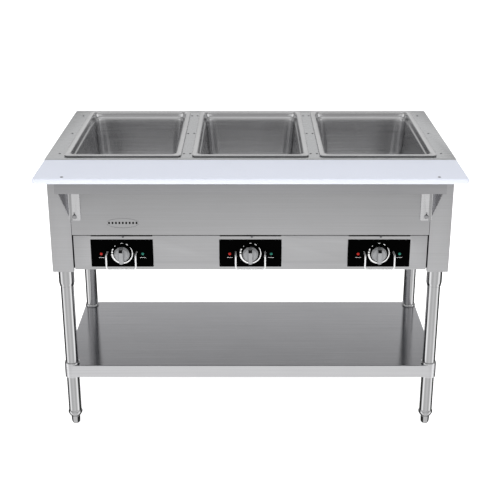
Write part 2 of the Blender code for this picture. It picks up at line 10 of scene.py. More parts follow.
import bmesh
import bpy
from mathutils import Matrix, Vector


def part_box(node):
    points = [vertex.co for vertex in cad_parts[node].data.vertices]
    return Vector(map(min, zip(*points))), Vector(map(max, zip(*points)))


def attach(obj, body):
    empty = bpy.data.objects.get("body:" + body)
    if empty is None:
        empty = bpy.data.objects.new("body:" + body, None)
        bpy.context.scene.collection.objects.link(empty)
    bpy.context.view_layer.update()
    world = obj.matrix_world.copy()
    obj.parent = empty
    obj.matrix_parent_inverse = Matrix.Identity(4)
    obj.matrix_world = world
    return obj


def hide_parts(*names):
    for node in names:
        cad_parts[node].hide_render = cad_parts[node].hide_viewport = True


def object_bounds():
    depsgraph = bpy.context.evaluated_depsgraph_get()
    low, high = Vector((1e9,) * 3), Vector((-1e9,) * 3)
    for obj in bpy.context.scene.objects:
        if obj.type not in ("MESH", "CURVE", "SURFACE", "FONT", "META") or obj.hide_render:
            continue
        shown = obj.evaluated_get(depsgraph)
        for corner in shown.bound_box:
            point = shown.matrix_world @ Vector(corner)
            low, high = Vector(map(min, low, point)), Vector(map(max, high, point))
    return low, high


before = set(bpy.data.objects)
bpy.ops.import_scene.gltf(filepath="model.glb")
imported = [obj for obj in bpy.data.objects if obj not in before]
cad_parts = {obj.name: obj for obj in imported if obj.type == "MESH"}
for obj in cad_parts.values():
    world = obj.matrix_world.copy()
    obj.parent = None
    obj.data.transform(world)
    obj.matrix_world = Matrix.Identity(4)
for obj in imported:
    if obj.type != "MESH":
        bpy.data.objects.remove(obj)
frame_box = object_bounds()
scene = bpy.context.scene
SIDES = {"left": -1, "middle": 0, "right": 1}
LEGS = ("front_left", "front_right", "rear_left", "rear_right")
GAP = 0.0003  # clearance the frame leaves between neighbours
MERGE = 1e-6  # points closer than this are one

# %% [markdown]
# ## Camera
# The view is that of a person standing in front, a little back, looking down on the pans. A long lens (75 mm) keeps
# the legs from spreading too much. Blender's camera looks along its own -Z, so a tilt of 90 degrees would look level.

# %% Camera
LENS = 75.28  # millimetres
TILT = 69.13  # degrees: 0 would look straight down and 90 level
camera_data = bpy.data.cameras.new("camera")
camera_data.lens = LENS
camera_data.sensor_width = 36.0
camera_data.clip_end = 60
camera = bpy.data.objects.new("camera", camera_data)
camera.location = (-0.0012, -2.9508, 1.6341)
camera.rotation_euler = (math.radians(TILT), 0, 0)
scene.collection.objects.link(camera)
scene.camera = camera
scene.view_settings.view_transform = "Standard"
print("camera looks down by", round(90 - TILT, 2), "degrees")

# %% [markdown]
# ## Two small helpers for nodes and colours
# Colours on screens are given as sRGB hex codes, but light adds up in linear values, so one function converts them.
# Another adds a node, sets its properties and fills its inputs, either with a value or with another node's output.
# Every material below is built with these two.


# %% Colour and node helpers
def colour(code):
    """An sRGB hex code as a linear RGBA colour."""
    channels = [int(code[i : i + 2], 16) / 255 for i in (1, 3, 5)]
    return (*[c / 12.92 if c <= 0.04045 else ((c + 0.055) / 1.055) ** 2.4 for c in channels], 1.0)


def add(tree, kind, inputs=None, **settings):
    """Adds a node. Inputs are values, or outputs of other nodes to link."""
    made = tree.nodes.new(kind)
    for name, value in settings.items():
        setattr(made, name, value)
    for socket, value in (inputs or {}).items():
        if isinstance(value, bpy.types.NodeSocket):
            tree.links.new(value, made.inputs[socket])
        else:
            made.inputs[socket].default_value = value
    return made


def ramp(tree, factor, stops):
    """A colour ramp through (position, hex code or grey value) stops."""
    made = add(tree, "ShaderNodeValToRGB", {"Fac": factor})
    elements = made.color_ramp.elements
    while len(elements) < len(stops):
        elements.new(0.5)
    for element, (position, value) in zip(elements, stops):
        element.position = position
        element.color = colour(value) if isinstance(value, str) else (value, value, value, 1.0)
    return made.outputs["Color"]


print("mid grey #808080 is", round(colour("#808080")[0], 3), "linear")

# %% [markdown]
# ## Studio
# Polished steel has hardly any colour of its own: it shows the room. The room here is a world of soft panels: grey in
# front, bright strips at both sides, dark flags beyond them, and a dim grey straight behind. A round leg then shows a
# grey middle, two bright lines and dark edges, as polished tube does in a studio. Above the horizon the room is a
# ceiling in rings: a bright ring low down, a darker band over it, and a bright zenith. Overhead strips brighten those
# rings at the sides and darken them further back. The camera itself sees plain white, so the background stays clean.
# The floor is pale and plain, and is left out of reflections so that the panels show.


# %% World, lights and floor
# greys round the room: 0 is straight behind the table, 0.5 its two sides and 1 straight ahead of it
PANELS = (
    (0.0, 0.42), (0.05, 0.38), (0.11, 0.04), (0.42, 0.04), (0.50, 0.50), (0.57, 1.15),
    (0.70, 1.40), (0.78, 0.95), (0.88, 0.64), (0.95, 0.66), (1.0, 0.78),
)
STRIPS = ((0.25, 1.0), (0.33, 0.35), (0.47, 0.3), (0.54, 1.5), (0.66, 1.4), (0.78, 0.9))
# greys from the horizon, at 0.5, up to the zenith, at 1
RINGS = (
    (0.5, 0.60), (0.595, 0.42), (0.622, 0.75), (0.652, 1.1),
    (0.685, 0.92), (0.74, 0.42), (0.86, 0.40), (0.94, 0.95),
)
WHITE = (1.0, 1.0, 1.0, 1.0)
FLOOR_HALF = 22  # metres from the middle to the floor's edge, out of sight
FLOOR_GLOW = 0.80  # the floor shines a little by itself, so that its shadows stay light


def make_studio_world():
    world = bpy.data.worlds.new("studio")
    world.use_nodes = True
    scene.world = world
    tree = world.node_tree
    tree.nodes.clear()
    direction = add(tree, "ShaderNodeTexCoord").outputs["Generated"]
    axes = add(tree, "ShaderNodeSeparateXYZ", {0: direction}).outputs
    sideways = add(tree, "ShaderNodeVectorMath", {0: direction, 1: (1, 1, 0)}, operation="MULTIPLY").outputs[0]
    length = add(tree, "ShaderNodeVectorMath", {0: sideways}, operation="LENGTH").outputs["Value"]
    to_back = add(tree, "ShaderNodeMath", {0: axes["Y"], 1: length}, operation="DIVIDE").outputs[0]
    round_room = add(tree, "ShaderNodeMath", {0: to_back, 1: -0.5, 2: 0.5}, operation="MULTIPLY_ADD").outputs[0]
    height = add(tree, "ShaderNodeMath", {0: axes["Z"], 1: 0.5, 2: 0.5}, operation="MULTIPLY_ADD").outputs[0]
    panels = ramp(tree, round_room, PANELS)
    rings = ramp(tree, height, RINGS)
    strips = ramp(tree, round_room, STRIPS)
    ceiling = add(tree, "ShaderNodeVectorMath", {0: rings, 1: strips}, operation="MULTIPLY").outputs[0]
    above = add(
        tree,
        "ShaderNodeMapRange",
        {"Value": axes["Z"], "From Min": -0.12, "From Max": 0.10},
        interpolation_type="SMOOTHSTEP",
    ).outputs[0]
    room = add(tree, "ShaderNodeMix", {"Factor": above, "A": panels, "B": ceiling}, data_type="RGBA")
    seen = add(tree, "ShaderNodeLightPath").outputs["Is Camera Ray"]
    shown = add(
        tree, "ShaderNodeMix", {"Factor": seen, "A": room.outputs["Result"], "B": WHITE}, data_type="RGBA"
    )
    background = add(tree, "ShaderNodeBackground", {"Color": shown.outputs["Result"], "Strength": 1.0})
    add(tree, "ShaderNodeOutputWorld", {"Surface": background.outputs[0]})


def add_softbox(name, place, target, size, watts):
    light = bpy.data.lights.new(name, "AREA")
    light.shape = "RECTANGLE"
    light.size, light.size_y = size
    light.energy = watts
    lamp = bpy.data.objects.new(name, light)
    lamp.location = place
    lamp.rotation_mode = "QUATERNION"
    lamp.rotation_quaternion = (Vector(target) - Vector(place)).to_track_quat("-Z", "Y")
    lamp.visible_glossy = False
    scene.collection.objects.link(lamp)


def make_floor():
    material = bpy.data.materials.new("pale_floor")
    material.use_nodes = True
    shader = material.node_tree.nodes["Principled BSDF"]
    shader.inputs["Base Color"].default_value = colour("#F4F4F4")
    shader.inputs["Roughness"].default_value = 0.9
    shader.inputs["Specular IOR Level"].default_value = 0.1
    shader.inputs["Emission Color"].default_value = WHITE
    shader.inputs["Emission Strength"].default_value = FLOOR_GLOW
    bm = bmesh.new()
    bmesh.ops.create_grid(bm, x_segments=1, y_segments=1, size=FLOOR_HALF)
    mesh = bpy.data.meshes.new("floor")
    bm.to_mesh(mesh)
    bm.free()
    mesh.materials.append(material)
    floor = bpy.data.objects.new("floor", mesh)
    floor.visible_glossy = False
    scene.collection.objects.link(floor)


make_studio_world()
add_softbox("overhead_softbox", place=(0, -0.2, 3.4), target=(0, 0, 0.5), size=(4.5, 4.0), watts=44)
add_softbox("front_softbox", place=(0, -4.2, 2.2), target=(0, 0, 0.6), size=(3.5, 2.2), watts=48)
make_floor()

# %% [markdown]
# ## Shaping helpers
# Most of this table is sheet metal with rounded corners, turned tube, or bent wire. Three helpers cover them. A loft
# joins outlines stacked at different heights. A spin turns a profile round an upright axis. The third takes a frame
# part's mesh, merges its triangles back into flat faces and softens its edges, because no real fold is razor sharp.


# %% Finishing a mesh into a piece
def make_piece(name, bm, material, body="table", stands_for=(), crease=30):
    """Turns a bmesh in row coordinates into a piece that rides on a body."""
    mesh = bpy.data.meshes.new(name)
    bm.to_mesh(mesh)
    bm.free()
    mesh.materials.append(material)
    mesh.shade_smooth()
    mesh.set_sharp_from_angle(angle=math.radians(crease))
    piece = bpy.data.objects.new(name, mesh)
    scene.collection.objects.link(piece)
    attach(piece, body)
    if stands_for:
        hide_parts(*stands_for)
    return piece


def rounded_outline(half_x, half_y, radius, steps, centre=(0, 0)):
    points = []
    for quarter, (sx, sy) in enumerate(((1, 1), (-1, 1), (-1, -1), (1, -1))):
        for step in range(steps + 1):
            angle = (quarter + step / steps) * math.pi / 2
            points.append(
                (
                    centre[0] + sx * (half_x - radius) + radius * math.cos(angle),
                    centre[1] + sy * (half_y - radius) + radius * math.sin(angle),
                )
            )
    return points


def loft(rings, capped=True):
    """Joins rings of (outline, height) with quads, bottom or inside first."""
    bm = bmesh.new()
    loops = [[bm.verts.new((x, y, z)) for x, y in outline] for outline, z in rings]
    count = len(loops[0])
    for lower, upper in zip(loops, loops[1:]):
        for i in range(count):
            j = (i + 1) % count
            bm.faces.new((lower[i], lower[j], upper[j], upper[i]))
    if capped:
        bm.faces.new(loops[0])
        bm.faces.new(loops[-1])
    else:
        for i in range(count):
            j = (i + 1) % count
            bm.faces.new((loops[-1][i], loops[-1][j], loops[0][j], loops[0][i]))
    bmesh.ops.recalc_face_normals(bm, faces=bm.faces)
    return bm


def spin(profile, centre, steps=64, axis="Z", closed=False):
    """Turns (radius, height) round an axis through centre. Along Y, heights run towards the cook."""
    bm = bmesh.new()
    verts = [bm.verts.new((radius, 0, height)) for radius, height in profile]
    edges = [bm.edges.new(pair) for pair in zip(verts, verts[1:])]
    if closed:
        edges.append(bm.edges.new((verts[-1], verts[0])))
    bmesh.ops.spin(
        bm, geom=verts + edges, cent=(0, 0, 0), axis=(0, 0, 1), angle=2 * math.pi, steps=steps, use_merge=True
    )
    bmesh.ops.remove_doubles(bm, verts=bm.verts, dist=MERGE)
    if axis == "Y":
        bmesh.ops.rotate(bm, verts=bm.verts, matrix=Matrix.Rotation(math.radians(90), 3, "X"))
    bmesh.ops.translate(bm, verts=bm.verts, vec=Vector(centre))
    bmesh.ops.recalc_face_normals(bm, faces=bm.faces)
    return bm


def soften(bm, radius, segments=2, chosen=None, sharp=35):
    """Bevels sharp edges, all of them or the chosen ones."""
    edges = [
        edge
        for edge in bm.edges
        if len(edge.link_faces) == 2
        and edge.calc_face_angle(0) > math.radians(sharp)
        and (chosen is None or chosen(edge))
    ]
    bmesh.ops.bevel(
        bm, geom=edges, offset=radius, segments=segments, profile=0.5, affect="EDGES", clamp_overlap=True
    )


def frame_copy(node):
    """The frame part's mesh with its triangles merged into flat faces again."""
    bm = bmesh.new()
    bm.from_mesh(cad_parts[node].data)
    bmesh.ops.remove_doubles(bm, verts=bm.verts, dist=2e-5)
    bmesh.ops.dissolve_limit(bm, angle_limit=math.radians(0.5), verts=bm.verts, edges=bm.edges)
    return bm


def centre_of(node):
    low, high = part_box(node)
    return (low + high) / 2


table_low, table_high = frame_box
print("table is", [round(v * 1000) for v in table_high - table_low], "mm")

# %% [markdown]
# ## Stainless steel, one recipe
# The body is austenitic stainless sheet with a number 4 finish: abrasive belts leave long parallel scratches, so it
# is bright but blurry, and the blur differs a little from scratch to scratch. The brackets keep the mill's paler
# finish, the pans are deep-drawn and bright, and the tubes are polished. All are one metal, so one recipe makes them:
# noise stretched along the grain drives the colour, the roughness and a faint bump. Real scratches are 0.1 to 0.3 mm
# apart, too fine to show, so they are drawn about ten times as coarse. The sheet is never quite flat either, so a
# broad, shallow wave bends it.
# Lights and panels alone leave the front too even. A second function therefore paints light and shade into a
# metal's own colour: painted shadow of the board darkens the panels towards the top, the sheet is painted a little
# lighter towards the bottom, and a dark stripe of painted shade runs along each bracket's fold.


# %% Stainless finishes
SMUDGES = 7.0  # per metre: cloudy spots about as wide as a hand
WAVES = 3.5  # per metre: how far apart the sheet's shallow waves are


def stainless(name, dark, light, roughness, grain, wave, score=0.12):
    """Grain: scratches per metre in X, Y and Z. Wave: how deep the sheet waves, in metres."""
    material = bpy.data.materials.new(name)
    material.use_nodes = True
    tree = material.node_tree
    shader = tree.nodes["Principled BSDF"]
    shader.inputs["Metallic"].default_value = 1.0
    place = add(tree, "ShaderNodeTexCoord").outputs["Object"]
    along = add(tree, "ShaderNodeMapping", {"Vector": place, "Scale": grain}).outputs[0]
    scratches = add(tree, "ShaderNodeTexNoise", {"Vector": along, "Scale": 1.0, "Detail": 4.0, "Roughness": 0.65})
    smudges = add(tree, "ShaderNodeTexNoise", {"Vector": place, "Scale": SMUDGES, "Detail": 3.0, "Distortion": 0.4})
    both = add(
        tree,
        "ShaderNodeMix",
        {"Factor": 0.3, "A": scratches.outputs["Fac"], "B": smudges.outputs["Fac"]},
        data_type="FLOAT",
    ).outputs["Result"]
    shade = ramp(tree, both, [(0.32, dark), (0.68, light)])
    tree.links.new(shade, shader.inputs["Base Color"])
    blur = add(
        tree,
        "ShaderNodeMapRange",
        {"Value": both, "From Min": 0.3, "From Max": 0.7, "To Min": roughness[0], "To Max": roughness[1]},
    ).outputs[0]
    tree.links.new(blur, shader.inputs["Roughness"])
    broad = add(tree, "ShaderNodeTexNoise", {"Vector": place, "Scale": WAVES, "Detail": 1.0})
    wavy = add(
        tree, "ShaderNodeBump", {"Strength": 1.0, "Distance": wave, "Height": broad.outputs["Fac"]}
    ).outputs[0]
    scored = add(
        tree,
        "ShaderNodeBump",
        {"Strength": score, "Distance": 0.0002, "Height": scratches.outputs["Fac"], "Normal": wavy},
    ).outputs[0]
    tree.links.new(scored, shader.inputs["Normal"])
    return material


def paint_light_and_shade(material, axis, stops):
    """Paints light and shade: multiplies colour by greys at distances from the middle along one axis, in metres."""
    tree = material.node_tree
    base = tree.nodes["Principled BSDF"].inputs["Base Color"]
    place = add(tree, "ShaderNodeTexCoord").outputs["Object"]
    along = add(tree, "ShaderNodeSeparateXYZ", {0: place}).outputs[axis]
    distance = add(tree, "ShaderNodeMath", {0: along}, operation="ABSOLUTE").outputs[0]
    first, last = stops[0][0], stops[-1][0]
    share = add(tree, "ShaderNodeMapRange", {"Value": distance, "From Min": first, "From Max": last}).outputs[0]
    greys = ramp(tree, share, [((spot - first) / (last - first), grey) for spot, grey in stops])
    product = add(tree, "ShaderNodeVectorMath", {0: base.links[0].from_socket, 1: greys}, operation="MULTIPLY")
    tree.links.new(product.outputs[0], base)


LEVEL, FLAT = (2.5, 2.5, 420), (2.5, 420, 420)  # grain that runs level on upright sheet, or along a top
# number 4 sheet: a soft grey blur of the room, crossed by fine level lines
sheet_steel = stainless("brushed_stainless_sheet", "#C6C6C7", "#D2D2D4", (0.30, 0.40), LEVEL, 0.0007)
# a copy of the sheet for the front panel, painted darker towards the top as the board's shadow (below)
panel_steel = stainless("brushed_stainless_front", "#C6C6C7", "#D2D2D4", (0.30, 0.40), LEVEL, 0.0007)
# the board's support: the same sheet painted darker, as the board's shadow
painted_shade_lip_steel = stainless("brushed_stainless_support_painted_shade", "#AEAEB0", "#BABABC", (0.30, 0.40), LEVEL, 0.0005)
# the shelf's upright edges: the same sheet painted paler, as painted light
painted_light_edge_steel = stainless("brushed_stainless_edge_painted_light", "#E2E2E4", "#EEEEF0", (0.30, 0.40), LEVEL, 0.0005)
# mill finish: paler and a little smoother than the brushed sheet; a bracket's sides get a copy painted dark as shade
bracket_steel = stainless("mill_finish_bracket", "#E6E6E8", "#F2F2F3", (0.22, 0.30), LEVEL, 0.0)
painted_shade_gusset_steel = stainless("mill_finish_gusset_painted_shade", "#8E8E92", "#A2A2A6", (0.22, 0.30), LEVEL, 0.0)
# finer sheet for the top, and a shelf so smooth that it mirrors the legs
top_steel = stainless("brushed_stainless_top", "#BEBFC0", "#C8C9CB", (0.24, 0.30), FLAT, 0.0002, score=0.05)
shelf_steel = stainless("brushed_stainless_shelf", "#A0A0A3", "#AAAAAD", (0.03, 0.05), FLAT, 0.0001, score=0.6)
# bright drawn pans: clear but soft highlights that follow every radius
pan_steel = stainless("bright_drawn_stainless", "#BEBEBF", "#D0D0D1", (0.17, 0.23), (4, 4, 260), 0.0001, score=0.03)
# polished tube: sharp bright lines along its length
tube_steel = stainless("polished_stainless_tube", "#C6C6C7", "#D2D2D3", (0.04, 0.08), (300, 300, 3), 0.0, score=0.05)
# dull fasteners: small dark dots that hardly reflect
screw_steel = stainless("dull_steel_fasteners", "#6C6C6E", "#8A8A8C", (0.35, 0.50), (300, 300, 300), 0.0)
# galvanised sheet: a cloudy, blotchy grey
zinc_steel = stainless("galvanised_sheet", "#A9ABAE", "#C2C4C6", (0.40, 0.58), (55, 55, 55), 0.0005)

# painted light and shade: the panels darker towards the top as the board's shadow, the other sheet also lighter
# towards the bottom, and a dark stripe of painted shade along each bracket's fold between lighter bands
paint_light_and_shade(panel_steel, "Z", [(0.60, 1.0), (0.66, 0.91), (0.80, 0.72)])
paint_light_and_shade(sheet_steel, "Z", [(0.50, 1.07), (0.60, 1.03), (0.80, 0.88)])
paint_light_and_shade(bracket_steel, "X", [(0.4952, 0.88), (0.4964, 0.55), (0.5025, 0.55), (0.5035, 0.85)])
print("metals:", [m.name for m in bpy.data.materials if m.name != "pale_floor"])

# %% [markdown]
# ## Plastics, enamel and print
# The board is high-density polyethylene with a fine, matte grain that takes a soft sheen. The control plates are
# enamelled black with white print. The knobs are silver-painted ABS, the lamp lenses clear polycarbonate, glossy
# and deep in colour. Each recipe is a base colour, a roughness with a little noise in it, and a fine bump.


# %% Other finishes
def moulded(name, code, spread, roughness, grain_mm, bump_mm, metallic=0.0, coat=0.0, shine=0.5):
    """A solid finish with a fine grain: spread is how much the colour varies, grain and bump are in millimetres."""
    material = bpy.data.materials.new(name)
    material.use_nodes = True
    tree = material.node_tree
    shader = tree.nodes["Principled BSDF"]
    shader.inputs["Metallic"].default_value = metallic
    shader.inputs["Specular IOR Level"].default_value = shine
    shader.inputs["Coat Weight"].default_value = coat
    shader.inputs["Coat Roughness"].default_value = 0.08
    place = add(tree, "ShaderNodeTexCoord").outputs["Object"]
    grain = add(tree, "ShaderNodeTexNoise", {"Vector": place, "Scale": 1000 / grain_mm, "Detail": 2.0})
    cloud = add(tree, "ShaderNodeTexNoise", {"Vector": place, "Scale": 9.0, "Detail": 3.0})
    base = colour(code)
    darker = tuple(c * (1 - spread) for c in base[:3]) + (1.0,)
    mixed = add(
        tree, "ShaderNodeMix", {"Factor": cloud.outputs["Fac"], "A": darker, "B": base}, data_type="RGBA"
    )
    tree.links.new(mixed.outputs["Result"], shader.inputs["Base Color"])
    blur = add(
        tree,
        "ShaderNodeMapRange",
        {"Value": grain.outputs["Fac"], "To Min": roughness - 0.08, "To Max": roughness + 0.08},
    ).outputs[0]
    tree.links.new(blur, shader.inputs["Roughness"])
    rough = add(
        tree,
        "ShaderNodeBump",
        {"Strength": 0.5, "Distance": bump_mm / 1000, "Height": grain.outputs["Fac"]},
    ).outputs[0]
    tree.links.new(rough, shader.inputs["Normal"])
    return material


# board: almost white and matte, with a cool tint
board_white = moulded("polyethylene_board", "#D9DDE9", 0.03, 0.48, 2.2, 0.10)
# enamel: a black that hardly reflects, so that the white print stands out
plate_black = moulded("black_enamel_plate", "#020202", 0.3, 0.42, 1.8, 0.02, shine=0.01)
print_white = moulded("white_screen_print", "#F2F2F2", 0.04, 0.5, 1.0, 0.01)
# painted ABS: a soft metallic grey with a black mark
knob_silver = moulded("silver_painted_knob", "#A8A9AB", 0.06, 0.42, 0.8, 0.03, metallic=0.35)
inlay_black = moulded("black_knob_inlay", "#040404", 0.2, 0.3, 1.0, 0.01, shine=0.1)
# polycarbonate: deep colour under a clear gloss
lens_red = moulded("red_polycarbonate_lens", "#B4190F", 0.15, 0.16, 1.0, 0.0, coat=0.3, shine=0.3)
lens_green = moulded("green_polycarbonate_lens", "#1A7262", 0.15, 0.16, 1.0, 0.0, coat=0.3, shine=0.3)
# inside: brown-black phenolic, cream ceramic and a heat-stained element
phenolic_black = moulded("phenolic_switch_body", "#1C1B1A", 0.2, 0.5, 1.2, 0.05)
ceramic_white = moulded("terminal_ceramic", "#DAD6CB", 0.08, 0.6, 1.2, 0.08)
element_dark = moulded("oxidised_element_sheath", "#5A5856", 0.35, 0.55, 1.6, 0.04, metallic=0.9)
# chrome: whiter than the steel round it, with a bright line along the wire
chrome = moulded("bright_chrome_wire", "#FCFCFD", 0.02, 0.26, 1.5, 0.0, metallic=0.55)
print("finishes:", len(bpy.data.materials))

# %% [markdown]
# ## Folded sheet
# The body is folded from 1.2 mm sheet. Its panels have the right shape in the frame already, so each is a copy with
# softened edges. The top gets a wider radius along its outer fold, because that edge is the one the light runs along,
# and so do the upright ends of the front panel. A bracket's upright plate gets its metal painted darker, as shade.


# %% Body panels
FOLD_RADIUS = 0.0004
WIDE_FOLD_RADIUS = 0.0022
NEAR = 0.0005  # an edge this close to a side of the box lies on it


def make_folded(node, material, radius=FOLD_RADIUS, wide_folds=None):
    """A softened copy of a frame part. The folds that wide_folds picks get the wide radius first."""
    bm = frame_copy(node)
    if wide_folds:
        soften(bm, WIDE_FOLD_RADIUS, 4, wide_folds)
    if radius:
        soften(bm, radius)
    return make_piece(f"{node}_sheet", bm, material, stands_for=[node], crease=40)


for node in ("control_fascia", "back_panel", "side_panel_left", "side_panel_right"):
    make_folded(node, sheet_steel)
make_folded("board_support", painted_shade_lip_steel)
make_folded("bottom_panel", zinc_steel)

panel_low, panel_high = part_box("front_panel")


def on_panel_ends(edge):
    ends = [panel_high.x - abs(vert.co.x) < NEAR and vert.co.y < panel_low.y + NEAR for vert in edge.verts]
    return all(ends) and edge.calc_length() > 0.1


make_folded("front_panel", panel_steel, wide_folds=on_panel_ends)
for node in ("board_bracket_left", "board_bracket_right"):
    bracket = make_folded(node, bracket_steel)
    bracket.data.materials.append(painted_shade_gusset_steel)
    for face in bracket.data.polygons:
        # sideways faces get the copy painted darker, as shade
        face.material_index = int(abs(face.normal.x) > 0.7)  # faces that look sideways

top_low, top_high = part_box("top_panel")


def on_outer_fold(edge):
    middle = (edge.verts[0].co + edge.verts[1].co) / 2
    outside = min(middle.x - top_low.x, top_high.x - middle.x, middle.y - top_low.y, top_high.y - middle.y)
    return outside < NEAR and (middle.z > top_high.z - NEAR or edge.calc_length() < 0.03)


make_folded("top_panel", top_steel, radius=0, wide_folds=on_outer_fold)

# %% [markdown]
# ## Wells
# Under each pan hangs a galvanised box with a tubular heating element in it. They show when a pan is lifted out. The
# box is a softened copy of the frame's. The element is one tube bent to and fro, so it is drawn as a line and given
# thickness by Geometry Nodes: the tree rounds the corners of a path, then sweeps a circle along it. The wire guards
# in front of the knobs are made with the same tree.


# %% A Geometry Nodes tree for bent wire and tube
def make_bent_wire_tree():
    """Fillets a path's corners and sweeps a round section along it."""
    tree = bpy.data.node_groups.new("bent_wire", "GeometryNodeTree")
    face = tree.interface
    face.new_socket("Path", in_out="INPUT", socket_type="NodeSocketGeometry")
    face.new_socket("Wire radius", in_out="INPUT", socket_type="NodeSocketFloat")
    face.new_socket("Bend radius", in_out="INPUT", socket_type="NodeSocketFloat")
    face.new_socket("Metal", in_out="INPUT", socket_type="NodeSocketMaterial")
    face.new_socket("Wire", in_out="OUTPUT", socket_type="NodeSocketGeometry")
    given = add(tree, "NodeGroupInput").outputs
    line = add(tree, "GeometryNodeMeshToCurve", {"Mesh": given["Path"]}).outputs["Curve"]
    rounded = add(
        tree,
        "GeometryNodeFilletCurve",
        {"Curve": line, "Radius": given["Bend radius"], "Count": 10, "Limit Radius": True},
        mode="POLY",
    ).outputs["Curve"]
    section = add(
        tree, "GeometryNodeCurvePrimitiveCircle", {"Resolution": 20, "Radius": given["Wire radius"]}
    ).outputs["Curve"]
    swept = add(
        tree, "GeometryNodeCurveToMesh", {"Curve": rounded, "Profile Curve": section, "Fill Caps": True}
    ).outputs["Mesh"]
    solid = add(tree, "GeometryNodeRealizeInstances", {"Geometry": swept}).outputs["Geometry"]
    coated = add(tree, "GeometryNodeSetMaterial", {"Geometry": solid, "Material": given["Metal"]})
    add(tree, "NodeGroupOutput", {"Wire": coated.outputs["Geometry"]})
    return tree


def applied(carrier):
    """An object's shape after its modifiers as a bmesh: doubles merged, faces outwards, one material."""
    bpy.context.view_layer.update()
    shape = bpy.data.meshes.new_from_object(carrier.evaluated_get(bpy.context.evaluated_depsgraph_get()))
    bm = bmesh.new()
    bm.from_mesh(shape)
    bpy.data.meshes.remove(shape)
    bmesh.ops.remove_doubles(bm, verts=bm.verts, dist=MERGE)
    bmesh.ops.recalc_face_normals(bm, faces=bm.faces)
    for face in bm.faces:
        face.material_index = 0  # primitives in a tree bring an empty first slot along
    return bm


def run_tree(name, source, tree, values, body="table", stands_for=()):
    """Runs a Geometry Nodes tree on a mesh and keeps the result as a plain mesh piece."""
    carrier = bpy.data.objects.new(f"{name}_carrier", source)
    scene.collection.objects.link(carrier)
    modifier = carrier.modifiers.new("shape", "NODES")
    modifier.node_group = tree
    names = {item.name: item.identifier for item in tree.interface.items_tree if item.in_out == "INPUT"}
    for key, value in values.items():
        modifier[names[key]] = value
    bm = applied(carrier)
    bpy.data.objects.remove(carrier)
    return make_piece(name, bm, values["Metal"], body, stands_for, crease=50)


def path_mesh(name, points):
    mesh = bpy.data.meshes.new(name)
    mesh.from_pydata(points, [(i, i + 1) for i in range(len(points) - 1)], [])
    return mesh


bent_wire = make_bent_wire_tree()
print("tree", bent_wire.name, "takes", [i.name for i in bent_wire.interface.items_tree if i.in_out == "INPUT"])

# %% Well liners and heating elements
TURN_BACK = 0.053  # the element's middle runs turn back this far from its front end

for side in SIDES:
    make_folded(f"well_liner_{side}", zinc_steel)
    low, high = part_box(f"heating_element_{side}")
    radius = (high.z - low.z) / 2
    z = low.z + radius
    run = (high.x - low.x - 2 * radius) / 6  # half the distance between neighbouring runs
    middle = (low.x + high.x) / 2
    near, far = low.y + TURN_BACK, high.y - radius
    xs = [middle + step * run for step in (-3, -1, 1, 3)]
    path = [(xs[0], low.y, z), (xs[0], far, z), (xs[1], far, z), (xs[1], near, z)]
    path += [(xs[2], near, z), (xs[2], far, z), (xs[3], far, z), (xs[3], low.y, z)]
    run_tree(
        f"heating_tube_{side}",
        path_mesh("element_path", path),
        bent_wire,
        {"Wire radius": radius, "Bend radius": run, "Metal": element_dark},
        stands_for=[f"heating_element_{side}"],
    )
print("element runs are", round(2000 * run), "mm apart")

# %% [markdown]
# ## Food pans
# A full-size pan is drawn from one sheet: a flat rim with a turned-down edge, a short upright wall, a stacking bead
# that stops pans from jamming, then tapered walls down to a slightly raised floor. Its section is a list of steps
# from the floor's middle over the rim and down the outside. Each step is a rounded rectangle, and a subdivision
# surface rounds what a press would round. The bead and the tight corners are what catch the light.


# %% Food pans
PAN_SECTION = (
    # in from the rim's edge, below the rim, corner radius: millimetres
    (110, 150.6, 12),
    (68, 151.4, 20),
    (52, 151.4, 26),
    (42, 149.5, 30),
    (34.5, 143.0, 33),
    (31.2, 132.0, 34),
    (26.8, 80.0, 34),
    (22.2, 22.4, 32),
    (21.2, 18.8, 31.5),
    (18.0, 16.2, 29),
    (17.1, 13.6, 28),
    (15.9, 6.0, 26),
    (15.2, 2.6, 25),
    (13.4, 0.6, 23),
    (10.6, 0.0, 20.5),
    (3.6, 0.0, 14.5),
    (1.3, 0.15, 12.6),
    (0.1, 1.1, 12),
    (0.0, 2.0, 12),
    (0.5, 3.2, 11.6),
    (1.7, 4.3, 10.8),
    (2.6, 4.7, 10.2),
    (2.9, 4.3, 10),
    (1.7, 3.2, 10.6),
    (1.2, 2.0, 11),
    (2.2, 1.3, 12.2),
    (11.8, 1.3, 21.5),
    (14.6, 3.4, 24.4),
    (16.2, 14.2, 27.3),
    (17.1, 16.9, 28.3),
    (20.2, 19.4, 30.8),
    (21.2, 23.4, 31.4),
    (30.3, 132.4, 33),
    (33.7, 143.8, 32),
    (41.6, 150.6, 29),
    (52, 152.6, 25),
    (68, 152.6, 19),
    (110, 151.8, 11),
)


def make_food_pan(side):
    low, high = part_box(f"food_pan_{side}")
    half_x, half_y = (high.x - low.x) / 2, (high.y - low.y) / 2
    centre = centre_of(f"food_pan_{side}")
    rings = [
        (
            rounded_outline(half_x - inset / 1000, half_y - inset / 1000, radius / 1000, 7, centre[:2]),
            high.z - depth / 1000,
        )
        for inset, depth, radius in PAN_SECTION
    ]
    bm = loft(rings)
    pan = make_piece(
        f"drawn_pan_{side}", bm, pan_steel, f"food_pan_{side}", [f"food_pan_{side}"], crease=180
    )
    rounding = pan.modifiers.new("pressed_radii", "SUBSURF")
    rounding.levels = rounding.render_levels = 2
    return pan


for side in SIDES:
    make_food_pan(side)
print("pans are", PAN_SECTION[0][1], "mm deep")

# %% [markdown]
# ## Cutting board
# The board is sawn from 14 mm polyethylene plate and its corners and edges are routed round, so they glow softly.
# It is a loft of one outline that shrinks as it nears the top and bottom faces, by a quarter circle each time.


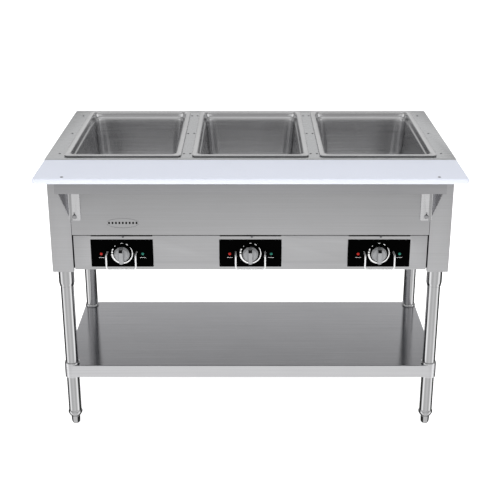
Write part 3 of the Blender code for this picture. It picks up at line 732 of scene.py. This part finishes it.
# %% Cutting board
def make_board():
    low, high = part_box("cutting_board")
    half_x, half_y, middle = (high.x - low.x) / 2, (high.y - low.y) / 2, (low + high) / 2
    corner, edge = 0.0095, 0.0038
    rings = []
    for angle in range(0, 91, 15):
        lift = edge * (1 - math.cos(math.radians(angle)))
        inset = edge * (1 - math.sin(math.radians(angle)))
        rings.append((inset, low.z + lift))
    rings += [(inset, low.z + high.z - z) for inset, z in reversed(rings)]
    bm = loft(
        [(rounded_outline(half_x - i, half_y - i, corner - i, 10, middle[:2]), z) for i, z in rings]
    )
    return make_piece(
        "polyethylene_board", bm, board_white, stands_for=["cutting_board"], crease=35
    )


board = make_board()
print("board is", [round(v * 1000) for v in board.dimensions], "mm")

# %% [markdown]
# ## Legs, sockets and feet
# Each leg is a polished tube 38 mm across. It stands in a socket that is drawn in at its lower end, and a flared
# insert with a hexagonal foot closes it below. All are turned shapes, so each is a profile spun round the leg's axis,
# with the small radii that a press or a lathe leaves. The foot changes from round to hexagon, so it is a loft.


# %% Legs
TUBE_WALL = 0.0015
EASE = 0.0006  # ends of tubes and stems are eased by this much
SLIP = 0.0004  # room between a leg and what slides over it
SOCKET_RADIUS = 0.0225
SOCKET_ROOF = 0.0036
# radius and height in millimetres: the socket's drawn-in neck, from its lower end up
SOCKET_NECK = ((22.5, 11.5), (22.3, 9.8), (21.7, 7.2), (20.9, 3.4), (20.6, 2.2), (20.6, 0.6), (20.2, 0.0))
# the insert's flare and the cone under it, from the ground up
INSERT_RADIUS, INSERT_HOLE = 0.0172, 0.0064
INSERT_FLARE = (
    (17.2, 46.7), (19.0, 46.7), (20.0, 44.6), (21.2, 41.2), (21.3, 39.6),
    (20.9, 37.2), (19.2, 33.0), (16.6, 29.0), (14.2, 26.8), (13.4, 26.2),
)
INSERT_BOTTOM = 0.0262
# the foot: half its width over the flats, height, and how round it is, from 0 for a hexagon to 1 for a circle
FOOT_STEPS = (
    (7.2, 0.0, 1.0), (8.6, 0.4, 0.9), (9.9, 1.6, 0.55), (10.6, 3.4, 0.25), (10.9, 6.2, 0.10),
    (11.2, 10.0, 0.06), (11.7, 22.2, 0.06), (11.8, 23.8, 0.20), (11.5, 25.2, 0.85), (10.8, 25.7, 1.0),
)
STEM_RADIUS = 0.0060


def in_metres(pairs, lift=0.0):
    """(radius, height) pairs given in millimetres, raised by lift."""
    return [(radius / 1000, height / 1000 + lift) for radius, height in pairs]


def make_turned(name, profile, base, stands_for, closed=False):
    bm = spin(profile, base, closed=closed)
    make_piece(name, bm, tube_steel, stands_for=[stands_for])


def make_leg(name):
    centre = centre_of(f"leg_{name}")
    base = (centre.x, centre.y, 0)
    low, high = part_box(f"leg_{name}")
    outer = (high.x - low.x) / 2
    inner = outer - TUBE_WALL
    tube = [(inner, low.z), (outer - EASE, low.z), (outer, low.z + EASE), (outer, high.z), (inner, high.z)]
    make_turned(f"leg_tube_{name}", tube, base, f"leg_{name}", closed=True)

    low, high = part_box(f"leg_socket_{name}")
    bore, roof = outer + SLIP, high.z - SOCKET_ROOF
    cup = [(0, high.z), (SOCKET_RADIUS - 0.0004, high.z), (SOCKET_RADIUS, high.z - 0.0004)]
    cup += in_metres(SOCKET_NECK, low.z) + [(bore, low.z), (bore, roof), (0, roof)]
    make_turned(f"leg_cup_{name}", cup, base, f"leg_socket_{name}")

    low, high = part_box(f"foot_insert_{name}")
    insert = [(INSERT_HOLE, high.z), (INSERT_RADIUS - 0.0004, high.z), (INSERT_RADIUS, high.z - 0.0004)]
    insert += in_metres(INSERT_FLARE) + [(INSERT_HOLE, INSERT_BOTTOM)]
    make_turned(f"leg_insert_{name}", insert, base, f"foot_insert_{name}", closed=True)
    return base


def hexagon(apothem, rounding, centre, steps=48):
    """A hexagon whose corners are eased: 0 is sharp and 1 a circle."""
    points = []
    for i in range(steps):
        angle = i * 2 * math.pi / steps
        sharp = apothem / math.cos(angle % (math.pi / 3) - math.pi / 6)
        radius = sharp * (1 - rounding) + apothem * rounding
        points.append((centre[0] + radius * math.cos(angle), centre[1] + radius * math.sin(angle)))
    return points


def make_foot(name, base):
    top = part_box(f"foot_{name}")[1].z
    steps = [(apothem / 1000, height / 1000, rounding) for apothem, height, rounding in FOOT_STEPS]
    steps += [(STEM_RADIUS, steps[-1][1], 1.0), (STEM_RADIUS, top - EASE, 1.0), (STEM_RADIUS - EASE, top, 1.0)]
    bm = loft([(hexagon(apothem, rounding, base[:2]), z) for apothem, z, rounding in steps])
    make_piece(
        f"levelling_foot_{name}", bm, tube_steel, f"foot_{name}", [f"foot_{name}"]
    )


for name in LEGS:
    make_foot(name, make_leg(name))

# %% [markdown]
# ## Undershelf
# The shelf is a tray turned upside down, with a collar welded in at each corner that slides over the leg. A loft
# makes the tray with its rounded fold, and Boolean modifiers join the collars and bore them, as a welder would. The
# result is kept as a plain mesh. Upright edges get the sheet painted paler, as painted light; collars the polished
# tube.


# %% Exact Booleans
def united_and_cut(first, steps):
    """Applies Booleans to a closed shape, in turn: steps are pairs of an operation and another shape."""
    parts = []
    for bm in (first, *(other for _, other in steps)):
        mesh = bpy.data.meshes.new("part")
        bm.to_mesh(mesh)
        bm.free()
        parts.append(bpy.data.objects.new("part", mesh))
        scene.collection.objects.link(parts[-1])
    for (operation, _), other in zip(steps, parts[1:]):
        boolean = parts[0].modifiers.new(operation.lower(), "BOOLEAN")
        boolean.operation, boolean.object, boolean.solver = operation, other, "EXACT"
    result = applied(parts[0])
    for part in parts:
        bpy.data.objects.remove(part)
    print("united and cut:", len(result.faces), "faces")
    return result


# %% Undershelf
SHELF_CORNER = 0.022  # radius of the corners, and how far the shelf reaches past the legs
SHELF_SHEET = 0.0012
SHELF_FOLD = 0.0028
SHELF_LIP = 0.012  # the turned-in lip under the edge
COLLAR_RISE, EDGE_RISE = 0.006, 0.004  # collars stand above the tray and reach below its edge
COLLAR_RADIUS, COLLAR_EASE = 0.0224, 0.0022
DRILL_REACH = 0.01  # the drill goes this far past the collar at both ends


def leg_posts(legs, bottom, top, radius, eased=0.0):
    """A round post at every leg, its upper edge eased in two steps."""
    profile = [(0, bottom), (radius, bottom), (radius, top - eased)]
    profile += [(radius - eased * 0.3, top - eased * 0.3), (radius - eased, top), (0, top)]
    posts = bmesh.new()
    for leg in legs:
        post = spin(profile, (leg.x, leg.y, 0))
        mesh = bpy.data.meshes.new("post")
        post.to_mesh(mesh)
        post.free()
        posts.from_mesh(mesh)
        bpy.data.meshes.remove(mesh)
    return posts


def shelf_tray(legs, top, edge):
    """The folded tray without its collars."""
    half_x = max(leg.x for leg in legs) + SHELF_CORNER
    front, back = min(leg.y for leg in legs) - SHELF_CORNER, max(leg.y for leg in legs) + SHELF_CORNER
    centre, half_y = (0, (front + back) / 2), (back - front) / 2

    def outline(inset):
        return rounded_outline(half_x - inset, half_y - inset, SHELF_CORNER - inset, 12, centre)

    rings = [(outline(SHELF_FOLD), top)]
    for degrees in (22.5, 45, 67.5, 90):
        turn = math.radians(degrees)
        rings.append(
            (outline(SHELF_FOLD - SHELF_FOLD * math.sin(turn)), top - SHELF_FOLD + SHELF_FOLD * math.cos(turn))
        )
    rings += [(outline(0), edge), (outline(SHELF_LIP), edge), (outline(SHELF_LIP), edge + SHELF_SHEET)]
    rings += [(outline(SHELF_SHEET), edge + SHELF_SHEET), (outline(SHELF_SHEET), top - SHELF_SHEET)]
    return loft(rings)


def make_undershelf():
    low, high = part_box("undershelf")
    legs = [centre_of(f"leg_{name}") for name in LEGS]
    top = high.z - COLLAR_RISE
    leg_low, leg_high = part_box("leg_front_left")
    bore = (leg_high.x - leg_low.x) / 2 + SLIP
    collars = leg_posts(legs, low.z, high.z, COLLAR_RADIUS, COLLAR_EASE)
    drills = leg_posts(legs, low.z - DRILL_REACH, high.z + DRILL_REACH, bore)
    tray = shelf_tray(legs, top, low.z + EDGE_RISE)
    bm = united_and_cut(tray, [("UNION", collars), ("DIFFERENCE", drills)])
    shelf = make_piece(
        "welded_undershelf", bm, shelf_steel, stands_for=["undershelf"], crease=32
    )
    shelf.data.materials.append(painted_light_edge_steel)
    shelf.data.materials.append(tube_steel)
    for face in shelf.data.polygons:
        middle = face.center
        near_leg = any(math.hypot(middle.x - leg.x, middle.y - leg.y) < COLLAR_RADIUS + 0.0008 for leg in legs)
        upright = abs(face.normal.z) < 0.8
        # the collars' tops get the tube; other upright faces the sheet painted paler, as painted light
        face.material_index = 2 if near_leg and middle.z > top - 0.001 else int(upright)
    return shelf


shelf = make_undershelf()
print("undershelf is", [round(v * 1000) for v in shelf.dimensions], "mm")

# %% [markdown]
# ## Controls
# Each well has a black plate with a dial, a knob on a shaft, two pilot lamps and a wire guard that keeps hips off the
# knob. The plate, switch and shaft keep the shape they have in the frame. The knob is a spun disc with a grip bar
# across it, united by a Boolean into one moulding. A small dark inlay marks its pointer.


# %% Plates, switches and shafts
SHAFT_EASE = 0.0005

for side in SIDES:
    for node, name, material, slot, radius in (
        (f"control_plate_{side}", f"enamel_plate_{side}", plate_black, "black_enamel", 0.0002),
        (f"heat_switch_{side}", f"switch_body_{side}", phenolic_black, "black_phenolic", 0.0006),
    ):
        bm = frame_copy(node)
        soften(bm, radius)
        make_piece(name, bm, material, stands_for=[node], crease=40)
    low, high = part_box(f"switch_shaft_{side}")
    centre = (low + high) / 2
    length, radius = high.y - low.y, (high.x - low.x) / 2
    rod = [(0, 0), (radius - SHAFT_EASE, 0), (radius, SHAFT_EASE), (radius, length - SHAFT_EASE)]
    rod += [(radius - SHAFT_EASE, length), (0, length)]
    bm = spin(rod, (centre.x, high.y, centre.z), 32, "Y")
    make_piece(
        f"turned_shaft_{side}", bm, tube_steel, f"knob_{side}", [f"switch_shaft_{side}"]
    )
plate_low, plate_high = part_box("control_plate_left")
print("control plates:", round(1000 * (plate_high.x - plate_low.x)), "mm wide")

# %% Knobs
# radius and distance from the plate in millimetres
KNOB_SKIRT = (
    (0, 0), (20.2, 0), (21.6, 0.6), (22.0, 1.6), (22.0, 4.4), (21.6, 5.6), (20.6, 6.6),
    (19.6, 7.6), (18.6, 9.8), (17.8, 11.0), (16.6, 11.7), (0, 11.8),
)
GRIP_HALF_WIDTH, GRIP_HALF_LENGTH, GRIP_CORNER = 0.0061, 0.0223, 0.0046
INLAY_HALF_WIDTH, INLAY_HALF_LENGTH, INLAY_CORNER = 0.0051, 0.0047, 0.0008
INLAY_OFFSET = Vector((-0.0004, 0, 0.0168))  # from the knob's axis


def facing_cook(bm):
    """Lays a loft down: outlines stay in x and z, and what was height becomes y."""
    for vert in bm.verts:
        x, z, y = vert.co
        vert.co = (x, y, z)
    bmesh.ops.recalc_face_normals(bm, faces=bm.faces)
    return bm


def bar_along_y(half_x, half_z, corner, back, front, centre, ease=0.0012):
    """A rounded bar that points at the cook, eased round its front."""
    steps = [(0.0, back), (0.0, front + 3 * ease), (0.15 * ease, front + 1.5 * ease)]
    steps += [(0.35 * ease, front + 0.6 * ease), (ease, front)]
    middle = (centre.x, centre.z)
    rings = [(rounded_outline(half_x - i, half_z - i, corner - i, 8, middle), y) for i, y in steps]
    return facing_cook(loft(rings))


for side in SIDES:
    low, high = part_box(f"knob_{side}")
    centre = (low + high) / 2
    disc = spin(in_metres(KNOB_SKIRT), (centre.x, high.y, centre.z), 72, "Y")
    grip = bar_along_y(GRIP_HALF_WIDTH, GRIP_HALF_LENGTH, GRIP_CORNER, high.y - 0.004, low.y + 0.0002, centre)
    knob = united_and_cut(disc, [("UNION", grip)])
    make_piece(
        f"pointer_knob_{side}", knob, knob_silver, f"knob_{side}", [f"knob_{side}"], crease=38
    )
    spot = centre + INLAY_OFFSET
    inlay = bar_along_y(
        INLAY_HALF_WIDTH, INLAY_HALF_LENGTH, INLAY_CORNER, low.y + 0.0018, low.y, spot, ease=0.0002
    )
    make_piece(f"knob_inlay_{side}", inlay, inlay_black, f"knob_{side}")
print("knobs stand out", round(1000 * (high.y - low.y)), "mm")

# %% [markdown]
# ## Guards, lamps and print
# A guard is 4.6 mm chromed wire: out of the plate, down past the knob, across and back, which is a path for the wire
# tree. A lamp is a domed lens in a dark bezel, spun. The print is ink, but ink has an edge too, so it is a very thin
# raised shape: a crescent that swells round the dial, three dashes that fade out, and plain marks instead of words.


# %% Knob guards and pilot lamps
GUARD_WIRE = 0.0023  # radius of the wire
GUARD_BEND = 0.007
LENS_STEM, BEZEL, DOME_RADIUS = 0.0042, 0.0050, 0.0041
DOME_BASE, DOME_HEIGHT = 0.0016, 0.0027
DOME_TURNS = (0, 0.25, 0.5, 0.75, 1.0, 1.25, 1.45)  # radians, from the rim to near the top

for side in SIDES:
    low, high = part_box(f"knob_guard_{side}")
    left, right, out = low.x + GUARD_WIRE, high.x - GUARD_WIRE, low.y + GUARD_WIRE
    lower, upper = low.z + GUARD_WIRE, high.z - GUARD_WIRE
    path = [(left, high.y, upper), (left, out, upper), (left, out, lower)]
    path += [(right, out, lower), (right, out, upper), (right, high.y, upper)]
    run_tree(
        f"wire_guard_{side}",
        path_mesh("guard_path", path),
        bent_wire,
        {"Wire radius": GUARD_WIRE, "Bend radius": GUARD_BEND, "Metal": chrome},
        stands_for=[f"knob_guard_{side}"],
    )
    for kind, lens, slot in (("power", lens_red, "red_lens"), ("heat", lens_green, "green_lens")):
        low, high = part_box(f"{kind}_lamp_{side}")
        centre = (low + high) / 2
        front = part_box(f"control_plate_{side}")[0].y
        back = front - high.y
        profile = [(0, back), (LENS_STEM, back), (LENS_STEM, GAP), (BEZEL - 0.0001, GAP), (BEZEL, 0.0008)]
        profile += [(DOME_RADIUS, 0.0012)]
        profile += [(DOME_RADIUS * math.cos(a), DOME_BASE + DOME_HEIGHT * math.sin(a)) for a in DOME_TURNS]
        profile += [(0, DOME_BASE + DOME_HEIGHT)]
        bm = spin(profile, (centre.x, front, centre.z), 40, "Y")
        lamp = make_piece(f"{kind}_lens_{side}", bm, lens, stands_for=[f"{kind}_lamp_{side}"])
        lamp.data.materials.append(inlay_black)
        for face in lamp.data.polygons:
            face.material_index = int(face.center.y > front - 0.0014)  # the bezel, below the dome
print("guards are", round(2000 * GUARD_WIRE, 1), "mm wire, lenses", round(2000 * DOME_RADIUS, 1), "mm across")

# %% Dial print
INK = 0.00012  # thickness of the print
INK_GAP = 0.00002  # and its distance from the enamel
# from and to in degrees clockwise from the top, outer radius and the width at both ends in millimetres, steps
DIAL_PARTS = (
    (52, 268, 30.6, 0.8, 5.0, 60),  # the crescent
    (273, 283, 30.3, 4.4, 4.4, 4),  # three dashes
    (288, 300, 30.3, 3.0, 3.0, 4),
    (317, 323, 30.3, 1.4, 1.4, 4),
    (-5, 5, 31.8, 1.2, 1.2, 4),  # off
    (23, 34, 31.8, 1.8, 1.8, 4),  # the lowest heat
)
LABEL_HALF, LABEL_DROP = (0.0080, 0.0004), 0.0118  # a bar under each lamp


def add_ink(bm, outline, y):
    """Extrudes one closed (x, z) outline into a thin raised print."""
    face = bm.faces.new([bm.verts.new((x, y, z)) for x, z in outline])
    grown = bmesh.ops.extrude_face_region(bm, geom=[face])
    moved = [item for item in grown["geom"] if isinstance(item, bmesh.types.BMVert)]
    bmesh.ops.translate(bm, verts=moved, vec=(0, -INK, 0))


def bar_outline(x, z, half_x, half_z):
    return [(x - half_x, z - half_z), (x + half_x, z - half_z), (x + half_x, z + half_z), (x - half_x, z + half_z)]


def ring_part(centre, start, end, outer, width_start, width_end, steps):
    """Part of a ring, seen by the cook. Its width grows quickly at first and then more slowly."""

    def point(radius, share):
        angle = math.radians(start + (end - start) * share)
        return (centre.x + radius * math.sin(angle), centre.z + radius * math.cos(angle))

    shares = [step / steps for step in range(steps + 1)]
    rim = [point(outer, share) for share in shares]
    widths = [width_start + (width_end - width_start) * math.sqrt(share) for share in shares]
    inner = [point(outer - width, share) for width, share in zip(widths, shares)]
    return rim + inner[::-1]


for side in SIDES:
    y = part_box(f"control_plate_{side}")[0].y - INK_GAP
    bm = bmesh.new()
    for start, end, outer, width_start, width_end, steps in DIAL_PARTS:
        sizes = (outer / 1000, width_start / 1000, width_end / 1000)
        add_ink(bm, ring_part(centre_of(f"knob_{side}"), start, end, *sizes, steps), y)
    for kind in ("power", "heat"):
        lamp = centre_of(f"{kind}_lamp_{side}")
        add_ink(bm, bar_outline(lamp.x, lamp.z - LABEL_DROP, *LABEL_HALF), y)
    bmesh.ops.recalc_face_normals(bm, faces=bm.faces)
    make_piece(f"dial_print_{side}", bm, print_white)
print("dial crescents go from", DIAL_PARTS[0][0], "to", DIAL_PARTS[0][1], "degrees")

# %% [markdown]
# ## Fasteners
# Blind rivets hold the wells to the top, screws hold the board and the fascia, and a screw hooks in each bracket's
# keyhole. They are all a head repeated at points, which is what Geometry Nodes are for. The tree puts a low,
# flat-topped head on every point of a mesh, sized and turned by its inputs, and makes the copies real at the end.


# %% A Geometry Nodes tree for fastener heads
def make_heads_tree():
    """Puts a low head with a sloping edge at each point, facing along a direction."""
    tree = bpy.data.node_groups.new("fastener_heads", "GeometryNodeTree")
    face = tree.interface
    face.new_socket("Points", in_out="INPUT", socket_type="NodeSocketGeometry")
    face.new_socket("Head radius", in_out="INPUT", socket_type="NodeSocketFloat")
    face.new_socket("Head height", in_out="INPUT", socket_type="NodeSocketFloat")
    face.new_socket("Turn", in_out="INPUT", socket_type="NodeSocketVector")
    face.new_socket("Metal", in_out="INPUT", socket_type="NodeSocketMaterial")
    face.new_socket("Heads", in_out="OUTPUT", socket_type="NodeSocketGeometry")
    given = add(tree, "NodeGroupInput").outputs
    shape = add(
        tree,
        "GeometryNodeMeshCone",
        {"Vertices": 24, "Radius Top": 0.72, "Radius Bottom": 1.0, "Depth": 1.0},
        fill_type="NGON",
    ).outputs["Mesh"]
    size = add(
        tree,
        "ShaderNodeCombineXYZ",
        {"X": given["Head radius"], "Y": given["Head radius"], "Z": given["Head height"]},
    ).outputs[0]
    head = add(tree, "GeometryNodeTransform", {"Geometry": shape, "Scale": size}).outputs["Geometry"]
    placed = add(
        tree,
        "GeometryNodeInstanceOnPoints",
        {"Points": given["Points"], "Instance": head, "Rotation": given["Turn"]},
    ).outputs["Instances"]
    real = add(tree, "GeometryNodeRealizeInstances", {"Geometry": placed}).outputs["Geometry"]
    coated = add(tree, "GeometryNodeSetMaterial", {"Geometry": real, "Material": given["Metal"]})
    add(tree, "NodeGroupOutput", {"Heads": coated.outputs["Geometry"]})
    return tree


heads = make_heads_tree()
print("tree", heads.name, "takes", [i.name for i in heads.interface.items_tree if i.in_out == "INPUT"])


def make_heads(name, points, radius, height, turn, material):
    mesh = bpy.data.meshes.new(name)
    mesh.from_pydata(points, [], [])
    values = {"Head radius": radius, "Head height": height, "Turn": turn, "Metal": material}
    run_tree(name, mesh, heads, values)
    print(name, "at", len(points), "points")


# %% Rivets and screws
UPRIGHT, TO_COOK = (0, 0, 0), (math.radians(90), 0, 0)
SUNK = 0.0002  # heads start a little inside the sheet
RIVET_ROWS = (0.060, 0.282, 0.505)  # from the top's front edge
OUTER_SHIFT = 0.010  # the outermost rivets stand further out
BOARD_SCREW_X, BOARD_SCREW_Y = 0.488, 0.018  # from the middle, and from the board's front edge

columns = []
for side in SIDES:
    liner_low, liner_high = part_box(f"well_liner_{side}")
    pan_low, pan_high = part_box(f"food_pan_{side}")
    columns += [(liner_low.x + pan_low.x) / 2, (liner_high.x + pan_high.x) / 2]
columns[0] -= OUTER_SHIFT
columns[-1] += OUTER_SHIFT
rivet_points = [(x, top_low.y + row, top_high.z - SUNK) for x in columns for row in RIVET_ROWS]
make_heads("top_rivets", rivet_points, 0.0034, 0.0012, UPRIGHT, screw_steel)

board_low, board_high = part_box("cutting_board")
board_points = [(x, board_low.y + BOARD_SCREW_Y, board_high.z - SUNK) for x in (-BOARD_SCREW_X, BOARD_SCREW_X)]
make_heads("board_screws", board_points, 0.0046, 0.0010, UPRIGHT, screw_steel)

bracket_points = []
for side in ("left", "right"):
    low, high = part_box(f"board_bracket_{side}")
    bracket_points.append(((low.x + high.x) / 2, panel_low.y - 0.0024, low.z + 0.0110))
# the screws share the support's sheet, the copy painted darker as shade
make_heads("bracket_screws", bracket_points, 0.0064, 0.0022, TO_COOK, painted_shade_lip_steel)

fascia_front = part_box("control_fascia")[0].y
fascia_points = [
    (centre_of(f"knob_{side}").x + 0.004, fascia_front - SUNK, panel_low.z - 0.0045) for side in SIDES
]
make_heads("fascia_screws", fascia_points, 0.0034, 0.0012, TO_COOK, screw_steel)

# %% [markdown]
# ## Nameplate and the hidden parts
# An oval plate with a row of plain bars sits where a maker would put a badge. Inside the body, the terminal block and
# the cord's bush are softened copies of the frame's parts.


# %% Nameplate
PLATE_CENTRE = (-0.3565, 0.663)
PLATE_HALF = (0.046, 0.0145)
PLATE_STEPS = ((0.0, 0.00005), (0.0, 0.0004), (0.0004, 0.0007))  # in from the edge, out from the panel
BARS, BAR_PITCH, BAR_HALF, BAR_RISE = 9, 0.0096, (0.0024, 0.0032), 0.0012


def oval(inset, start=0, end=354):
    """Points round the nameplate's edge, every 6 degrees."""
    turns = [math.radians(degrees) for degrees in range(start, end + 1, 6)]
    (x, z), (half_x, half_z) = PLATE_CENTRE, PLATE_HALF
    return [(x + (half_x - inset) * math.cos(turn), z + (half_z - inset) * math.sin(turn)) for turn in turns]


plate = facing_cook(loft([(oval(inset), panel_low.y - lift) for inset, lift in PLATE_STEPS]))
# the plate takes the front panel's metal, with its painted shadow of the board
make_piece("blank_nameplate", plate, panel_steel)
bars = bmesh.new()
plate_face = panel_low.y - PLATE_STEPS[-1][1] - INK_GAP
add_ink(bars, oval(0.0012, 186, 354) + oval(0.0017, 186, 354)[::-1], plate_face)  # a thin line along its lower edge
for step in range(BARS):
    x = PLATE_CENTRE[0] + (step - (BARS - 1) / 2) * BAR_PITCH
    add_ink(bars, bar_outline(x, PLATE_CENTRE[1] + BAR_RISE, *BAR_HALF), plate_face)
bmesh.ops.recalc_face_normals(bars, faces=bars.faces)
make_piece("nameplate_bars", bars, inlay_black)
print("nameplate is", round(2000 * PLATE_HALF[0]), "by", round(2000 * PLATE_HALF[1]), "mm")

# %% Terminal block and cord inlet
for node, material, slot in (
    ("terminal_block", ceramic_white, "ceramic"),
    ("cord_inlet", zinc_steel, "galvanised_steel"),
):
    bm = frame_copy(node)
    soften(bm, FOLD_RADIUS)
    make_piece(f"{node}_body", bm, material, stands_for=[node], crease=40)
